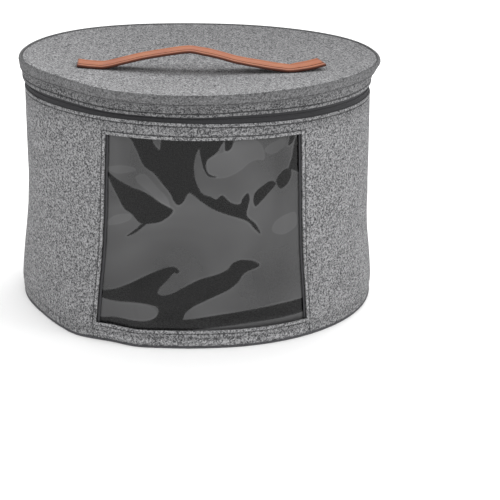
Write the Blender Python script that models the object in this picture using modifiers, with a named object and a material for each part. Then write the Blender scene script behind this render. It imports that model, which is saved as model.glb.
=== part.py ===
"""Round felt hat box with a clear front window, a zipped lid and a flat carrying strap.

Metres, +Z up, window facing -Y, origin on the floor under the middle of the box.
Azimuths run from -Y towards +X, seen from above, in degrees.
"""

import math
from collections import namedtuple

import bmesh
import bpy
from mathutils import Vector

# Felt body
FELT = 0.003
FIT_GAP = 0.0003
LID_RADIUS = 0.215
LID_OVERHANG = 0.0093
WALL_RADIUS = LID_RADIUS - LID_OVERHANG
WALL_HEIGHT = 0.2573
FOOT_FLARE = 0.0115
SIDE_BELLY = 0.0026
BINDING_WIDTH = 0.0025
BINDING_PROUD = 0.0008

# Window
WINDOW_WIDTH = 0.2255
WINDOW_HEAD = 0.0193
WINDOW_TOP = WALL_HEIGHT - WINDOW_HEAD
STRIP_HEIGHT = 0.0185
STRIP_GAP = 0.0012
PANE_THICKNESS = 0.0008
PANE_LAP = 0.009
PANE_GAP = 0.0011
PANE_RIPPLE = 0.0016
TAPE_WIDTH = 0.0035
TAPE_THICKNESS = 0.001
TAPE_GAP = 0.0002

# Zip and cloth hinge
ZIP_WIDTH = 0.0059
ZIP_THICKNESS = 0.0015
ZIP_RECESS = 0.0008
ZIP_GAP = 0.0005
HINGE_WIDTH = 0.115
HINGE_LAP = 0.010
HINGE_THICKNESS = 0.0015
SLIDER_AZIMUTH = 150.0
SLIDER_WIDTH = 0.008
SLIDER_DEPTH = 0.004
PULL_LENGTH = 0.020
PULL_THICKNESS = 0.0014

# Lid
LID_DEPTH = 0.0268
LID_SAG = 0.010
RIM_WIDTH = 0.010
SKIRT_EASE = 0.0016
SKIRT_SET_BACK = 0.0027
RIM_SHARE = 0.15
BAND_HEIGHT = 0.0117
BAND_THICKNESS = 0.0014

# Carrying strap on the lid
HANDLE_SPAN = 0.283
HANDLE_WIDTH = 0.035
HANDLE_THICKNESS = 0.003
HANDLE_RISE = 0.0228
HANDLE_FORWARD = 0.050
HANDLE_GAP = 0.0005

# Elastic straps on the floor
ELASTIC_WIDTH = 0.015
ELASTIC_THICKNESS = 0.0012
ELASTIC_SPACING = 0.155
ELASTIC_BACK = 0.164
ELASTIC_FRONT = 0.128

# Facets
WINDOW_CELLS = 16
WALL_CELLS = 54
ARC_CELLS = 60
WINDOW_LEVELS = (0.05, 0.12, 0.20, 0.29, 0.39, 0.50, 0.72)
LID_RINGS = (0.76, 0.52, 0.26)

# The wall's side view: heights as shares of the wall, flare and belly as shares of their sizes
Level = namedtuple("Level", "height flare belly")
PROFILE = (
    Level(0.00, 0.84, 0.00),
    Level(0.07, 1.00, 0.00),
    Level(0.13, 0.91, 0.00),
    Level(0.19, 0.78, 0.00),
    Level(0.25, 0.62, 0.00),
    Level(0.31, 0.45, 0.00),
    Level(0.37, 0.30, 0.20),
    Level(0.43, 0.17, 0.50),
    Level(0.49, 0.10, 0.85),
    Level(0.57, 0.00, 1.00),
    Level(0.67, 0.00, 0.85),
    Level(0.79, 0.00, 0.50),
    Level(0.90, 0.00, 0.27),
    Level(1.00, 0.00, 0.00),
)

# The foot seen from above: how strongly the flare shows at each azimuth
Foot = namedtuple("Foot", "azimuth flare")
FOOT = (
    Foot(-178.0, 1.00),
    Foot(-85.0, 0.95),
    Foot(-62.0, 0.73),
    Foot(-49.0, 1.20),
    Foot(-41.0, 1.60),
    Foot(-35.0, 1.32),
    Foot(-29.0, 1.00),
    Foot(-20.0, 1.22),
    Foot(-12.0, 0.84),
    Foot(1.0, 0.58),
    Foot(11.0, 0.65),
    Foot(34.0, 0.85),
    Foot(62.0, 1.00),
)

# The window's sides: half width at each height, as a share of the half width at its top
Side = namedtuple("Side", "height spread")
WINDOW_SIDES = (
    Side(0.00, 1.070),
    Side(0.30, 1.055),
    Side(0.60, 1.035),
    Side(1.00, 1.000),
)

# The lid and the edges on both sides of the zip: radius as a share of the lid's radius, how far
# each edge rises above its level as shares of the lid's depth, the skirt's ease as a share of
# its size, and how full the skirt is between its foot and the rim
Edge = namedtuple("Edge", "azimuth rim_radius rim_rise skirt_rise skirt_ease skirt_belly wall_rise")
EDGES = (
    Edge(-178.0, 0.972, -0.020, 0.050, 1.0, 0.00, 0.000),
    Edge(-137.0, 1.008, 0.010, 0.070, 1.2, 0.10, 0.020),
    Edge(-92.0, 0.990, 0.000, 0.130, 1.5, 0.30, 0.030),
    Edge(-50.0, 0.974, 0.075, 0.165, 1.2, 0.10, 0.030),
    Edge(-31.0, 1.007, -0.020, 0.040, 1.0, 0.00, 0.000),
    Edge(-15.0, 1.022, -0.045, 0.020, 1.0, 0.00, -0.010),
    Edge(-2.0, 1.018, -0.040, 0.020, 1.0, 0.00, -0.030),
    Edge(13.0, 1.005, -0.015, 0.080, 1.0, 0.00, -0.055),
    Edge(30.0, 0.995, 0.020, 0.070, 0.9, 0.00, -0.085),
    Edge(53.0, 0.990, 0.050, 0.060, 0.6, -0.10, -0.105),
    Edge(88.0, 1.014, 0.000, 0.060, 0.2, -0.20, -0.150),
    Edge(118.0, 1.018, 0.000, 0.050, 0.5, -0.10, -0.080),
    Edge(148.0, 0.990, -0.010, 0.050, 1.0, 0.00, -0.010),
)

# The carrying strap from its left tip to its right one: place along half the span,
# distance in front of the lid's middle and lift, as shares of HANDLE_FORWARD and HANDLE_RISE
Station = namedtuple("Station", "along forward lift")
HANDLE = (
    Station(-1.00, 0.96, 0.035),
    Station(-0.90, 0.96, 0.000),
    Station(-0.80, 0.96, 0.004),
    Station(-0.72, 0.96, 0.110),
    Station(-0.64, 0.96, 0.263),
    Station(-0.45, 0.96, 0.600),
    Station(-0.26, 0.97, 0.850),
    Station(-0.09, 0.98, 1.000),
    Station(0.00, 0.99, 0.930),
    Station(0.09, 1.03, 0.830),
    Station(0.19, 1.06, 0.675),
    Station(0.29, 1.09, 0.500),
    Station(0.39, 1.12, 0.370),
    Station(0.50, 1.17, 0.245),
    Station(0.60, 1.22, 0.127),
    Station(0.70, 1.26, 0.030),
    Station(0.74, 1.28, 0.004),
    Station(0.80, 1.27, 0.030),
    Station(0.90, 1.22, 0.083),
    Station(1.00, 1.17, 0.180),
)

WALL_FOOT = FELT + FIT_GAP
STRIP_TOP = WALL_FOOT + STRIP_HEIGHT
SKIRT_FOOT = WALL_HEIGHT + ZIP_WIDTH
LID_TOP = SKIRT_FOOT + LID_DEPTH


def clear_scene():
    for obj in list(bpy.data.objects):
        bpy.data.objects.remove(obj, do_unlink=True)


def make_material(name, colour, roughness, metallic=0.0, transmission=0.0):
    material = bpy.data.materials.new(name)
    material.use_nodes = True
    shader = material.node_tree.nodes["Principled BSDF"]
    shader.inputs["Base Color"].default_value = (*colour, 1.0)
    shader.inputs["Roughness"].default_value = roughness
    shader.inputs["Metallic"].default_value = metallic
    shader.inputs["Transmission Weight"].default_value = transmission
    return material


def slope(before, after):
    return (after[1] - before[1]) / (after[0] - before[0])


def smooth(points, x):
    """A smooth curve through the points (x, y), level beyond its ends."""
    if x <= points[0][0]:
        return points[0][1]
    for i in range(1, len(points)):
        if x <= points[i][0]:
            break
    else:
        return points[-1][1]
    start, end = points[i - 1], points[i]
    step = end[0] - start[0]
    t = (x - start[0]) / step
    before = points[max(i - 2, 0)]
    after = points[min(i + 1, len(points) - 1)]
    out_slope = slope(before, end) * step
    in_slope = slope(start, after) * step
    blend_in = t * t * (3.0 - 2.0 * t)
    arrive = t * t * (t - 1.0)
    leave = t * (1.0 - t) ** 2
    return start[1] + (end[1] - start[1]) * blend_in + out_slope * leave + in_slope * arrive


def by_height(rows, column, share):
    return smooth([(row.height, getattr(row, column)) for row in rows], share)


def by_azimuth(rows, column, azimuth):
    turned = (azimuth + 180.0) % 360.0 - 180.0
    turns = (-360.0, 0.0, 360.0)
    points = [(row.azimuth + turn, getattr(row, column)) for turn in turns for row in rows]
    return smooth(points, turned)


def along(column, share):
    return smooth([(row.along, getattr(row, column)) for row in HANDLE], share)


def at(azimuth, radius, height):
    angle = math.radians(azimuth)
    return Vector((radius * math.sin(angle), -radius * math.cos(angle), height))


def wall_radius(azimuth, height):
    """Outer radius of the felt wall."""
    share = height / WALL_HEIGHT
    flare = FOOT_FLARE * by_height(PROFILE, "flare", share) * by_azimuth(FOOT, "flare", azimuth)
    to_the_right = max(0.0, math.sin(math.radians(azimuth))) ** 2
    return WALL_RADIUS + flare + SIDE_BELLY * by_height(PROFILE, "belly", share) * to_the_right


def window_edge(height):
    """Azimuth of the window's side at a height."""
    half = math.degrees(0.5 * WINDOW_WIDTH / WALL_RADIUS)
    return half * by_height(WINDOW_SIDES, "spread", min(height / WINDOW_TOP, 1.0))


def lap_angle():
    return math.degrees(PANE_LAP / WALL_RADIUS)


def window_azimuths(height):
    edge = window_edge(height)
    return [edge * (2.0 * i / WINDOW_CELLS - 1.0) for i in range(WINDOW_CELLS + 1)]


def pane_azimuths(height):
    inside = window_azimuths(height)
    return [inside[0] - lap_angle()] + inside + [inside[-1] + lap_angle()]


def wall_azimuths(height):
    """Once round the wall, starting at the window's left side."""
    inside = window_azimuths(height)
    first = inside[-1] + lap_angle()
    last = 360.0 + inside[0] - lap_angle()
    return inside + [first + (last - first) * i / WALL_CELLS for i in range(WALL_CELLS + 1)]


def arc_azimuths(start, end, cells):
    return [start + (end - start) * i / cells for i in range(cells + 1)]


def window_levels():
    """Heights of the wall's rows from the top of the foot strip to the top of the window."""
    tall = WINDOW_TOP - STRIP_TOP
    return [STRIP_TOP] + [STRIP_TOP + share * tall for share in WINDOW_LEVELS] + [WINDOW_TOP]


def edge_rise(column, azimuth):
    return LID_DEPTH * by_azimuth(EDGES, column, azimuth)


def wall_edge(azimuth):
    return WALL_HEIGHT + edge_rise("wall_rise", azimuth)


def skirt_edge(azimuth):
    return SKIRT_FOOT + edge_rise("skirt_rise", azimuth)


def rim_height(azimuth):
    return LID_TOP + edge_rise("rim_rise", azimuth)


def rim_radius(azimuth):
    return LID_RADIUS * by_azimuth(EDGES, "rim_radius", azimuth)


def lid_surface(azimuth, radius):
    """Top of the lid: flat along the rim, sagging inside it."""
    inner = rim_radius(azimuth) - RIM_WIDTH
    share = min(radius / inner, 1.0)
    return LID_TOP - LID_SAG * (1.0 - share ** 2) + edge_rise("rim_rise", azimuth) * share ** 2


def skirt_ends(azimuth):
    """Outer radius and height of the skirt at its foot and at the underside of the panel."""
    ease = SKIRT_EASE * by_azimuth(EDGES, "skirt_ease", azimuth)
    foot = WALL_RADIUS + ease + RIM_SHARE * (rim_radius(azimuth) - LID_RADIUS)
    top = rim_radius(azimuth) - SKIRT_SET_BACK
    return foot, skirt_edge(azimuth), top, rim_height(azimuth) - FELT


def skirt_radius(azimuth, height):
    """Outer radius of the lid's skirt, which widens upwards to the rim."""
    foot, low, top, high = skirt_ends(azimuth)
    share = (height - low) / (high - low)
    belly = 4.0 * share * (1.0 - share) * by_azimuth(EDGES, "skirt_belly", azimuth)
    return foot + (top - foot) * (share + belly)


def band_foot(azimuth):
    return rim_height(azimuth) - BAND_HEIGHT


def under_panel(azimuth):
    """Top edge of the skirt, low enough for its tilted inner face to clear the panel."""
    foot, low, top, high = skirt_ends(azimuth)
    start = band_foot(azimuth)
    tilt = math.atan2(top - skirt_radius(azimuth, start), high - start)
    return high - FIT_GAP - FELT * max(0.0, math.sin(tilt))


def surface(name, material, rows, closed=False, keep=None, middle=None):
    """An open sheet through rows of points.

    closed joins each row's ends, keep picks the cells that get a face, and middle is where a
    fan closes the last row.
    """
    mesh = bpy.data.meshes.new(name)
    sheet = bmesh.new()
    grid = [[sheet.verts.new(point) for point in row] for row in rows]
    count = len(rows[0])
    for r in range(len(rows) - 1):
        for c in range(count if closed else count - 1):
            if keep and not keep(r, c):
                continue
            n = (c + 1) % count
            sheet.faces.new((grid[r][c], grid[r][n], grid[r + 1][n], grid[r + 1][c]))
    if middle:
        centre = sheet.verts.new(middle)
        for c in range(count):
            sheet.faces.new((grid[-1][c], grid[-1][(c + 1) % count], centre))
    loose = [vert for vert in sheet.verts if not vert.link_faces]
    bmesh.ops.delete(sheet, geom=loose, context="VERTS")
    sheet.to_mesh(mesh)
    sheet.free()
    return add_object(name, mesh, material)


def add_object(name, mesh, material):
    obj = bpy.data.objects.new(name, mesh)
    mesh.materials.append(material)
    mesh.shade_smooth()
    mesh.set_sharp_from_angle(angle=math.radians(40.0))
    bpy.data.collections["hat_box"].objects.link(obj)
    return obj


def thicken(obj, thickness, outwards=False):
    shell = obj.modifiers.new("thickness", "SOLIDIFY")
    shell.thickness = thickness
    shell.offset = 1.0 if outwards else -1.0
    shell.use_even_offset = True
    return obj


def build_wall(felt):
    inside = window_levels()
    levels = [WALL_FOOT] + inside + [WINDOW_TOP + PANE_LAP]
    rows = [[at(a, wall_radius(a, z), z) for a in wall_azimuths(z)[:-1]] for z in levels]
    top = wall_azimuths(WALL_HEIGHT)[:-1]
    rows.append([at(a, wall_radius(a, WALL_HEIGHT), wall_edge(a)) for a in top])
    window_rows = len(inside)
    wall = surface(
        "side_wall", felt, rows, closed=True,
        keep=lambda r, c: r >= window_rows or c >= WINDOW_CELLS,
    )
    thicken(wall, FELT)


def build_foot_strip(felt):
    rows = []
    for z in (WALL_FOOT, STRIP_TOP):
        edge = window_edge(z) - math.degrees(STRIP_GAP / WALL_RADIUS)
        across = arc_azimuths(-edge, edge, WINDOW_CELLS)
        rows.append([at(a, wall_radius(a, z), z) for a in across])
    thicken(surface("window_foot_strip", felt, rows), FELT)


def pane_radius(azimuth, height):
    """Outer radius of the clear pane, which ripples inwards away from its edges."""
    across = azimuth / window_edge(height)
    up = (height - STRIP_TOP) / (WINDOW_TOP - STRIP_TOP)
    held = max(0.0, 1.0 - across ** 2) * max(0.0, 4.0 * up * (1.0 - up))
    wave = 0.5 + 0.5 * math.sin(5.2 * across + 4.1 * up + 1.7 * math.sin(6.0 * up))
    return wall_radius(azimuth, height) - FELT - PANE_GAP - PANE_RIPPLE * held * wave


def build_pane(film):
    levels = [WALL_FOOT + FIT_GAP] + window_levels() + [WINDOW_TOP + PANE_LAP]
    rows = [[at(a, pane_radius(a, z), z) for a in pane_azimuths(z)] for z in levels]
    thicken(surface("window_pane", film, rows), PANE_THICKNESS)


def build_tape(name, side, tape):
    """Dark tape along one side of the window, lying on the pane inside the cut-out."""
    rows = []
    for z in window_levels():
        height = min(max(z, STRIP_TOP + FIT_GAP), WINDOW_TOP - FIT_GAP)
        outer = window_edge(z) - math.degrees(FIT_GAP / WALL_RADIUS)
        inner = outer - math.degrees(TAPE_WIDTH / WALL_RADIUS)
        ends = sorted((side * outer, side * inner))
        rows.append([at(a, wall_radius(a, height) - FELT + TAPE_GAP, height) for a in ends])
    thicken(surface(name, tape, rows), TAPE_THICKNESS, outwards=True)


def build_floor(felt):
    outline = []
    for azimuth in wall_azimuths(WALL_FOOT)[:-1]:
        radius = wall_radius(azimuth, 0.0) + BINDING_PROUD - BINDING_WIDTH - FIT_GAP
        outline.append(at(azimuth, radius, FELT))
    middle = Vector((0.0, 0.0, FELT))
    thicken(surface("floor_panel", felt, [outline], closed=True, middle=middle), FELT)


def build_binding(tape):
    rows = []
    for z in (0.0, FELT):
        ring = wall_azimuths(WALL_FOOT)[:-1]
        rows.append([at(a, wall_radius(a, 0.0) + BINDING_PROUD, z) for a in ring])
    thicken(surface("base_binding", tape, rows, closed=True), BINDING_WIDTH)


def hinge_half():
    return math.degrees(0.5 * HINGE_WIDTH / WALL_RADIUS)


def build_zip(tape):
    end = 180.0 - hinge_half()
    radius = WALL_RADIUS - ZIP_RECESS
    ring = arc_azimuths(-end, end, ARC_CELLS)
    low = [at(a, radius, wall_edge(a) + ZIP_GAP) for a in ring]
    high = [at(a, radius, skirt_edge(a) - ZIP_GAP) for a in ring]
    thicken(surface("zip_tape", tape, [low, high]), ZIP_THICKNESS)


def build_hinge(felt):
    reach = hinge_half() + math.degrees(HINGE_LAP / WALL_RADIUS)
    ring = arc_azimuths(180.0 - reach, 180.0 + reach, ARC_CELLS // 6)
    radius = WALL_RADIUS - FELT - FIT_GAP
    low = [at(a, radius, wall_edge(a) - HINGE_LAP) for a in ring]
    high = [at(a, radius, skirt_edge(a) + HINGE_LAP) for a in ring]
    thicken(surface("back_hinge", felt, [low, high]), HINGE_THICKNESS)


def build_slider(metal):
    """Zip slider with its pull hanging over the wall, parked at the back."""
    low = wall_edge(SLIDER_AZIMUTH) + ZIP_GAP
    high = skirt_edge(SLIDER_AZIMUTH) - ZIP_GAP
    inner = WALL_RADIUS - ZIP_RECESS + FIT_GAP
    outer = inner + SLIDER_DEPTH
    outline = (
        (inner, low), (outer - PULL_THICKNESS, low),
        (outer - PULL_THICKNESS, high - PULL_LENGTH), (outer, high - PULL_LENGTH),
        (outer, high), (inner, high),
    )
    mesh = bpy.data.meshes.new("zip_slider")
    plate = bmesh.new()
    half = math.degrees(0.5 * SLIDER_WIDTH / outer)
    side = at(SLIDER_AZIMUTH + 90.0, 0.5 * SLIDER_WIDTH * math.cos(math.radians(half)), 0.0)
    plate.faces.new([plate.verts.new(at(SLIDER_AZIMUTH, r, z) - side) for r, z in outline])
    plate.to_mesh(mesh)
    plate.free()
    thicken(add_object("zip_slider", mesh, metal), SLIDER_WIDTH)


def build_lid_panel(felt):
    ring = wall_azimuths(WALL_HEIGHT)[:-1]
    rows = [[at(a, rim_radius(a), rim_height(a)) for a in ring]]
    flat = [(a, rim_radius(a) - RIM_WIDTH) for a in ring]
    rows.append([at(a, r, lid_surface(a, r)) for a, r in flat])
    for share in LID_RINGS:
        rows.append([at(a, r * share, lid_surface(a, r * share)) for a, r in flat])
    middle = Vector((0.0, 0.0, LID_TOP - LID_SAG))
    thicken(surface("lid_panel", felt, rows, closed=True, middle=middle), FELT)


def build_skirt(felt):
    ring = wall_azimuths(WALL_HEIGHT)[:-1]
    rows = []
    for edge in (skirt_edge, band_foot, under_panel):
        rows.append([at(a, skirt_radius(a, edge(a)), edge(a)) for a in ring])
    thicken(surface("lid_skirt", felt, rows, closed=True), FELT)


def build_band(felt):
    ring = wall_azimuths(WALL_HEIGHT)[:-1]
    rows = []
    for edge in (band_foot, under_panel):
        rows.append([at(a, skirt_radius(a, edge(a)) + FIT_GAP, edge(a)) for a in ring])
    thicken(surface("lid_edge_band", felt, rows, closed=True), BAND_THICKNESS, outwards=True)


def lid_under(point):
    azimuth = math.degrees(math.atan2(point.x, -point.y))
    return lid_surface(azimuth, math.hypot(point.x, point.y))


def build_handle(leather):
    """Strap whose tips lie on the lid, folded up into a low arch between them."""
    rows = []
    half = 0.5 * HANDLE_SPAN
    for station in HANDLE:
        x = half * station.along
        y = -HANDLE_FORWARD * station.forward
        ahead = HANDLE_FORWARD * (along("forward", station.along + 0.02)
                                  - along("forward", station.along - 0.02))
        run = Vector((0.04 * half, -ahead, 0.0)).normalized()
        across = Vector((run.y, -run.x, 0.0)) * 0.5 * HANDLE_WIDTH
        middle = Vector((x, y, 0.0))
        points = [middle + across, middle, middle - across]
        z = max(lid_under(point) for point in points) + HANDLE_GAP + HANDLE_RISE * station.lift
        rows.append([point + Vector((0.0, 0.0, z)) for point in points])
    columns = [[row[i] for row in rows] for i in range(3)]
    thicken(surface("handle_strap", leather, columns), HANDLE_THICKNESS, outwards=True)


def build_elastic(name, side, cloth):
    mesh = bpy.data.meshes.new(name)
    strap = bmesh.new()
    bmesh.ops.create_cube(strap, size=1.0)
    long = ELASTIC_BACK + ELASTIC_FRONT
    bmesh.ops.scale(strap, vec=(ELASTIC_WIDTH, long, ELASTIC_THICKNESS), verts=strap.verts)
    strap.to_mesh(mesh)
    strap.free()
    obj = add_object(name, mesh, cloth)
    height = FELT + FIT_GAP + 0.5 * ELASTIC_THICKNESS
    obj.location = (side * 0.5 * ELASTIC_SPACING, 0.5 * (ELASTIC_BACK - ELASTIC_FRONT), height)


def main():
    clear_scene()
    collection = bpy.data.collections.new("hat_box")
    bpy.context.scene.collection.children.link(collection)

    felt = make_material("grey_felt", (0.23, 0.23, 0.24), 0.95)
    zip_cloth = make_material("dark_cloth", (0.03, 0.03, 0.033), 0.8)
    film = make_material("clear_film", (0.75, 0.77, 0.78), 0.08, transmission=0.9)
    leather = make_material("tan_leather", (0.60, 0.19, 0.08), 0.5)
    elastic = make_material("black_elastic", (0.015, 0.015, 0.017), 0.85)
    metal = make_material("zip_metal", (0.25, 0.25, 0.26), 0.35, metallic=1.0)

    build_wall(felt)
    build_foot_strip(felt)
    build_floor(felt)
    build_binding(zip_cloth)
    build_pane(film)
    build_tape("window_tape_left", -1.0, zip_cloth)
    build_tape("window_tape_right", 1.0, zip_cloth)
    build_zip(zip_cloth)
    build_hinge(felt)
    build_slider(metal)
    build_lid_panel(felt)
    build_skirt(felt)
    build_band(felt)
    build_handle(leather)
    build_elastic("elastic_strap_left", -1.0, elastic)
    build_elastic("elastic_strap_right", 1.0, elastic)


main()
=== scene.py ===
"""Looks of a round felt hat box: felt, seams, zip, clear window, carrying strap and stage.

Metres, +Z up, window facing -Y. Azimuths run from -Y towards +X, in degrees.
"""

import math
from collections import namedtuple

import bpy
import numpy as np
from bpy.props import FloatProperty, FloatVectorProperty, PointerProperty
from mathutils import Matrix, Vector


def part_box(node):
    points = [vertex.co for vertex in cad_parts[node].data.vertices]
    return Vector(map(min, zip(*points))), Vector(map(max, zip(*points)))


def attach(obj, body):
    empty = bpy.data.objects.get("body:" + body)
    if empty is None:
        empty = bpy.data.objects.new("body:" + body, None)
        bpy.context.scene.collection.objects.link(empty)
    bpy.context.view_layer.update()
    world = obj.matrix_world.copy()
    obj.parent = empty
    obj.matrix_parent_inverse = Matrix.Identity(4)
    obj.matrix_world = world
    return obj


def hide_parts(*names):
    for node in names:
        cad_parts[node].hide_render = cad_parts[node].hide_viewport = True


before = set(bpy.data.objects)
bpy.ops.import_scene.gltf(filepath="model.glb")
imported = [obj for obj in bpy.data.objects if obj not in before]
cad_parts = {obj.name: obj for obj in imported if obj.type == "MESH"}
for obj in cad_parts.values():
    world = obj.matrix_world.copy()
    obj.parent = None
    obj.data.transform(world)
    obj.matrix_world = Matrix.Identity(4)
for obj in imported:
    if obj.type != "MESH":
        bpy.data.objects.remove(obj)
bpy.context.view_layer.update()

bl_info = {
    "name": "Felt hat box",
    "version": (1, 0, 0),
    "blender": (4, 5, 0),
    "location": "3D View > Sidebar > Hat box",
    "description": "Builds a round felt hat box with a clear window and a zipped lid",
    "category": "Add Mesh",
}

# Distances that several pieces share, in metres
FIT_GAP = 0.0003
STITCH_SINK = 0.00022
HEM_GROOVE = 0.010
RIM_SET_BACK = 0.0027
RIM_ROLL = 0.0032
PANEL_THINNER = 0.0014
STRIP_PROUD = 0.0006
FILM_LAP = 0.009
FILM_GAP = 0.0012
TAPE_GAP = 0.0001
ZIP_LAP = 0.001
ZIP_RECESS = 0.0011
ZIP_THICKNESS = 0.0012
TOOTH_RECESS = 0.0013
HINGE_WIDTH = 0.115
HINGE_LAP = 0.010
HINGE_THICKNESS = 0.0015
STRAP_GAP = 0.0005
CREASE = 0.0085

# Shares and tones of the felt
RIM_SHARE = 0.15
BAND_GROOVE = 0.20
RIPPLE_UNDER_STRIP = 0.4
WALL_TONE = 0.80
LID_TONE = 0.74
INSIDE_TONE = 0.72

# The window is this many of its half widths high
FILM_TALL = 1.86
SIDES = (("left", -1.0), ("right", 1.0))

# The wall's side view: heights as shares of the wall, flare and belly as shares of their sizes
Level = namedtuple("Level", "height flare belly")
PROFILE = (
    Level(0.00, 0.84, 0.00),
    Level(0.07, 1.00, 0.00),
    Level(0.13, 0.91, 0.00),
    Level(0.19, 0.78, 0.00),
    Level(0.25, 0.62, 0.00),
    Level(0.31, 0.45, 0.00),
    Level(0.37, 0.30, 0.20),
    Level(0.43, 0.17, 0.50),
    Level(0.49, 0.10, 0.85),
    Level(0.57, 0.00, 1.00),
    Level(0.67, 0.00, 0.85),
    Level(0.79, 0.00, 0.50),
    Level(0.90, 0.00, 0.27),
    Level(1.00, 0.00, 0.00),
)

# The foot seen from above: how strongly the flare shows at each azimuth
Foot = namedtuple("Foot", "azimuth flare")
FOOT = (
    Foot(-178.0, 1.00),
    Foot(-85.0, 0.95),
    Foot(-62.0, 0.73),
    Foot(-49.0, 1.20),
    Foot(-41.0, 1.60),
    Foot(-35.0, 1.32),
    Foot(-29.0, 1.00),
    Foot(-20.0, 1.22),
    Foot(-12.0, 0.84),
    Foot(1.0, 0.58),
    Foot(11.0, 0.65),
    Foot(34.0, 0.85),
    Foot(62.0, 1.00),
)

# The window's sides: half width at each height, as a share of the half width at its top
Side = namedtuple("Side", "height spread")
WINDOW_SIDES = (
    Side(0.00, 1.070),
    Side(0.30, 1.055),
    Side(0.60, 1.035),
    Side(1.00, 1.000),
)

# The lid and the edges on both sides of the zip: radius as a share of the lid's radius, how far
# each edge rises above its level as shares of the lid's depth, the skirt's ease as a share of
# its size, and how full the skirt is between its foot and the rim
Edge = namedtuple("Edge", "azimuth rim_radius rim_rise skirt_rise skirt_ease skirt_belly wall_rise")
EDGES = (
    Edge(-178.0, 0.972, -0.020, 0.050, 1.0, 0.00, 0.000),
    Edge(-137.0, 1.008, 0.010, 0.070, 1.2, 0.10, 0.020),
    Edge(-92.0, 0.990, 0.000, 0.130, 1.5, 0.30, 0.030),
    Edge(-50.0, 0.974, 0.075, 0.165, 1.2, 0.10, 0.030),
    Edge(-31.0, 1.007, -0.020, 0.040, 1.0, 0.00, 0.000),
    Edge(-15.0, 1.022, -0.045, 0.020, 1.0, 0.00, -0.010),
    Edge(-2.0, 1.018, -0.040, 0.020, 1.0, 0.00, -0.030),
    Edge(13.0, 1.005, -0.015, 0.080, 1.0, 0.00, -0.055),
    Edge(30.0, 0.995, 0.020, 0.070, 0.9, 0.00, -0.085),
    Edge(53.0, 0.990, 0.050, 0.060, 0.6, -0.10, -0.105),
    Edge(88.0, 1.014, 0.000, 0.060, 0.2, -0.20, -0.150),
    Edge(118.0, 1.018, 0.000, 0.050, 0.5, -0.10, -0.080),
    Edge(148.0, 0.990, -0.010, 0.050, 1.0, 0.00, -0.010),
)

# The carrying strap from its left tip to its right one: place along half the span,
# distance in front of the lid's middle and lift, as shares of their sizes
Station = namedtuple("Station", "along forward lift")
HANDLE = (
    Station(-1.00, 0.96, 0.035),
    Station(-0.90, 0.96, 0.000),
    Station(-0.80, 0.96, 0.004),
    Station(-0.72, 0.96, 0.110),
    Station(-0.64, 0.96, 0.263),
    Station(-0.45, 0.96, 0.600),
    Station(-0.26, 0.97, 0.850),
    Station(-0.09, 0.98, 1.000),
    Station(0.00, 0.99, 0.930),
    Station(0.09, 1.03, 0.830),
    Station(0.19, 1.06, 0.675),
    Station(0.29, 1.09, 0.500),
    Station(0.39, 1.12, 0.370),
    Station(0.50, 1.17, 0.245),
    Station(0.60, 1.22, 0.127),
    Station(0.70, 1.26, 0.030),
    Station(0.74, 1.28, 0.004),
    Station(0.80, 1.27, 0.030),
    Station(0.90, 1.22, 0.083),
    Station(1.00, 1.17, 0.180),
)

# One edge of the strap's section: inset from its side, height as a share of its thickness, dye
STRAP_EDGE = (
    (0.0, 0.25, 1.0), (0.0, 0.75, 1.0), (0.0006, 0.97, 0.7), (0.0014, 1.0, 0.1),
    (CREASE - 0.0022, 1.0, 0.0), (CREASE - 0.0008, 0.80, 0.95), (CREASE + 0.0008, 0.80, 0.95),
    (CREASE + 0.0018, 1.0, 0.0),
)

# The band's roll over the rim: inset from it, lift as a share of the roll's height, tone
# The tone column is painted shade, darkest where the roll tucks in at its inner side
RIM_SECTION = (
    (0.0000, -2.2, 0.80), (0.0002, -0.9, 0.78), (0.0008, 0.4, 0.70), (0.0018, 1.0, 0.60),
    (0.0028, 1.0, 0.58), (0.0036, 0.5, 0.52), (0.0042, -0.4, 0.40),
)
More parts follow.
